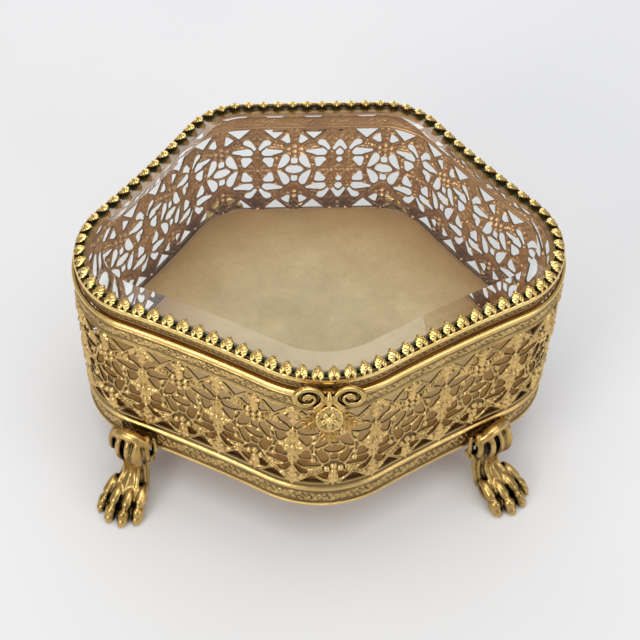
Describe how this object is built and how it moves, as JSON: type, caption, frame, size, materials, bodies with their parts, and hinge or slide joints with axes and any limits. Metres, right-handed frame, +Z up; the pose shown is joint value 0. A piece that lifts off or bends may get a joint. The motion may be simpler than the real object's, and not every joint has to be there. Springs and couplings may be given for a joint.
{
  "type": "vanity trinket box",
  "caption": "Five-sided pierced gilt-brass trinket box with a hinged bevelled glass lid, a crown of bent teeth, a thumb ornament and lion-paw feet.",
  "frame": {"origin": "on the table, under the middle of the whole box's bounding box", "axes": "+Z up, +X to the right seen from the front, -Y towards the front point that carries the thumb ornament"},
  "size_m": [0.1538, 0.1424, 0.0905],
  "materials": {
    "gilt_filigree": "stamped gilt brass with dark patina in the recesses",
    "gilt_polished": "bright gilt",
    "gilt_cast": "cast gilt with dark recesses",
    "gilt_inside": "aged brown brass",
    "steel": "plain turned",
    "velvet": "tan short-pile velvet",
    "card": "pulp board",
    "glass": "clear, bevelled edge"
  },
  "bodies": {
    "box": {"filigree_wall": "gilt_filigree", "rim_wire": "gilt_polished", "base_plate": "gilt_inside", "pad_board": "card", "velvet_pad": "velvet", "foot_front_left": "gilt_cast", "foot_screw_front_left": "steel", "foot_nut_front_left": "steel", "foot_front_right": "gilt_cast", "foot_screw_front_right": "steel", "foot_nut_front_right": "steel", "foot_back_left": "gilt_cast", "foot_screw_back_left": "steel", "foot_nut_back_left": "steel", "foot_back_right": "gilt_cast", "foot_screw_back_right": "steel", "foot_nut_back_right": "steel", "hinge_leaf_body": "gilt_cast", "hinge_pin": "steel"},
    "lid": {"lid_band": "gilt_filigree", "gallery_strip": "gilt_polished", "glass_pane": "glass", "hinge_leaf_lid": "gilt_cast", "thumb_bow": "gilt_polished", "clasp_leaves": "gilt_cast", "clasp_flower": "gilt_polished", "clasp_rivet": "gilt_polished"}
  },
  "joints": [
    {"name": "lid_hinge", "type": "hinge", "parent": "box", "child": "lid", "pos_m": [0, 0.05413, 0.0825], "axis": [-1, 0, 0], "range_deg": [0, 100]}
  ]
}
